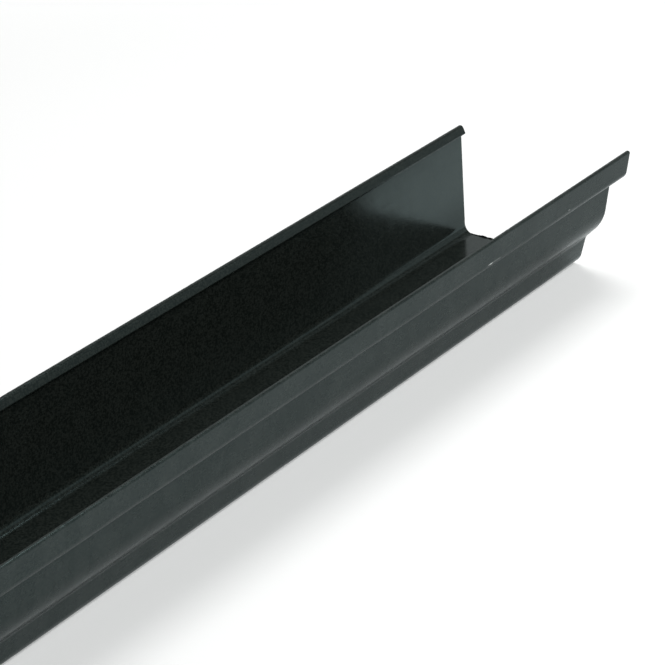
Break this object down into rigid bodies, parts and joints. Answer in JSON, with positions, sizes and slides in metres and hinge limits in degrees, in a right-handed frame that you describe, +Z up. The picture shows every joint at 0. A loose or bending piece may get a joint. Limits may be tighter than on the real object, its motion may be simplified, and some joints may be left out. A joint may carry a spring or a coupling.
{
  "type": "moulded ogee gutter section",
  "caption": "Straight stock length of moulded ogee rain gutter: flat base, plain back wall with a folded lip, moulded front with a thickened rim, open top and ends.",
  "frame": {"origin": "middle of the length and of the overall width, on the surface that the base rests on", "axes": "+X along the length; +Y towards the plain back wall, so the moulded front faces -Y; +Z up"},
  "size_m": [2, 0.125, 0.0835],
  "materials": {
    "coated_metal": "semi-gloss black powder coat with a fine orange peel"
  },
  "bodies": {
    "root": {"gutter_section": "coated_metal"}
  },
  "joints": []
}
